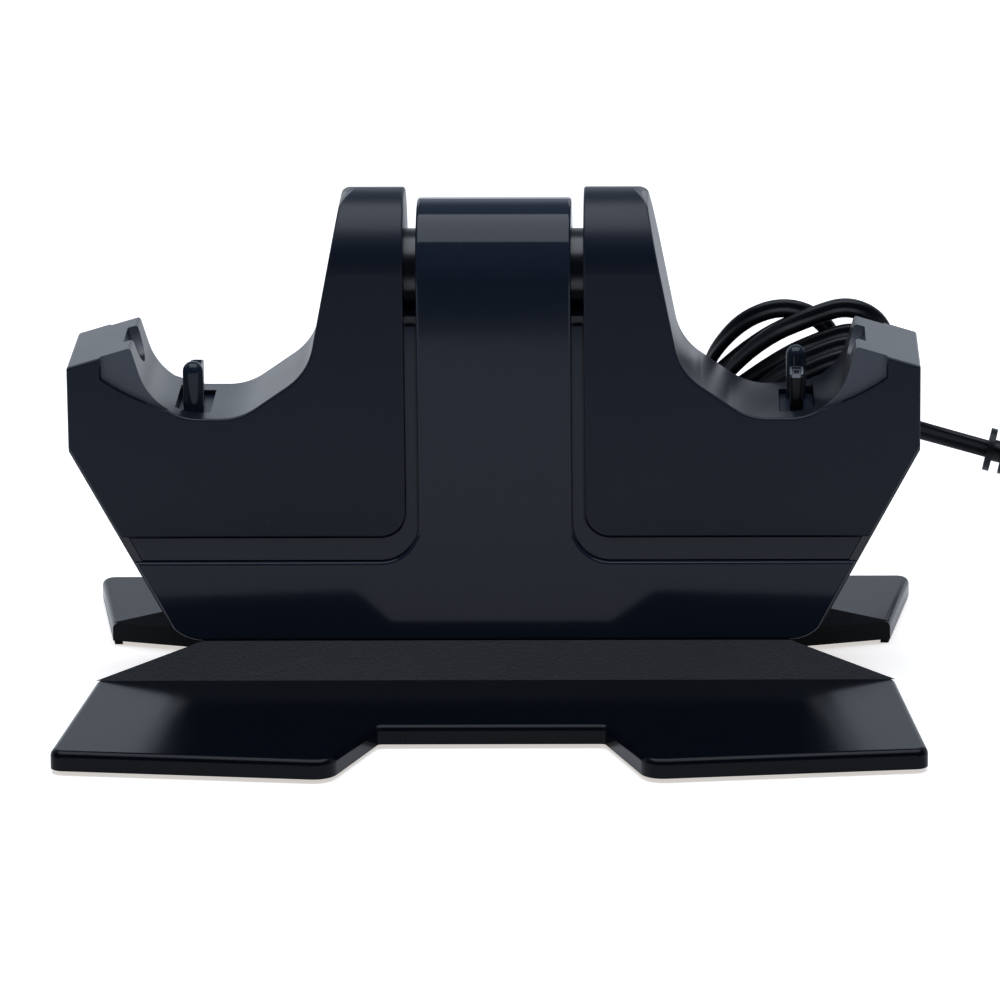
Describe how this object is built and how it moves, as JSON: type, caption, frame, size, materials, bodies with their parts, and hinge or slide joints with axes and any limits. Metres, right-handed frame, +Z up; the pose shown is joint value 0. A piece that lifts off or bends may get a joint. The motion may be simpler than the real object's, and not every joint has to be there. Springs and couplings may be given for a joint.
{
  "type": "controller charging dock",
  "caption": "Upright charging dock that holds a game controller on each side of a central column, on an H-shaped base, with its lead and wall adapter.",
  "frame": {"origin": "on the floor, under the middle of the dock's box without its cord and adapter", "axes": "+X to the viewer's right, +Y to the rear, where the lead leaves, +Z up"},
  "size_m": [0.2624, 0.1904, 0.0988],
  "materials": {
    "gloss_black": "polished black",
    "satin_black": "fine satin",
    "grained_black": "spark-eroded grain",
    "soft_black": "soft vinyl",
    "adapter_black": "fine satin",
    "rubber": "matt",
    "steel": "nickel plated",
    "board": "solder mask"
  },
  "bodies": {
    "root": {"base_shell": "gloss_black", "plinth": "grained_black", "base_bottom_cover": "satin_black", "rubber_feet": "rubber", "base_screws": "steel", "core_frame": "satin_black", "front_backing": "gloss_black", "rear_backing": "gloss_black", "front_fascia": "gloss_black", "rear_fascia": "gloss_black", "front_left_wing": "satin_black", "front_right_wing": "satin_black", "rear_left_wing": "satin_black", "rear_right_wing": "satin_black", "left_connector_block": "satin_black", "right_connector_block": "satin_black", "left_guide_pin": "gloss_black", "right_guide_pin": "gloss_black", "left_plug": "steel", "right_plug": "steel", "left_connector_board": "board", "right_connector_board": "board", "main_board": "board", "body_screws": "steel", "cord_gland": "soft_black", "cord_lead": "soft_black", "cord_run": "soft_black", "cord_hank": "soft_black", "hank_tie": "soft_black", "adapter_relief": "soft_black", "adapter_case": "adapter_black", "adapter_face_plate": "adapter_black", "adapter_blades": "steel"}
  },
  "joints": []
}
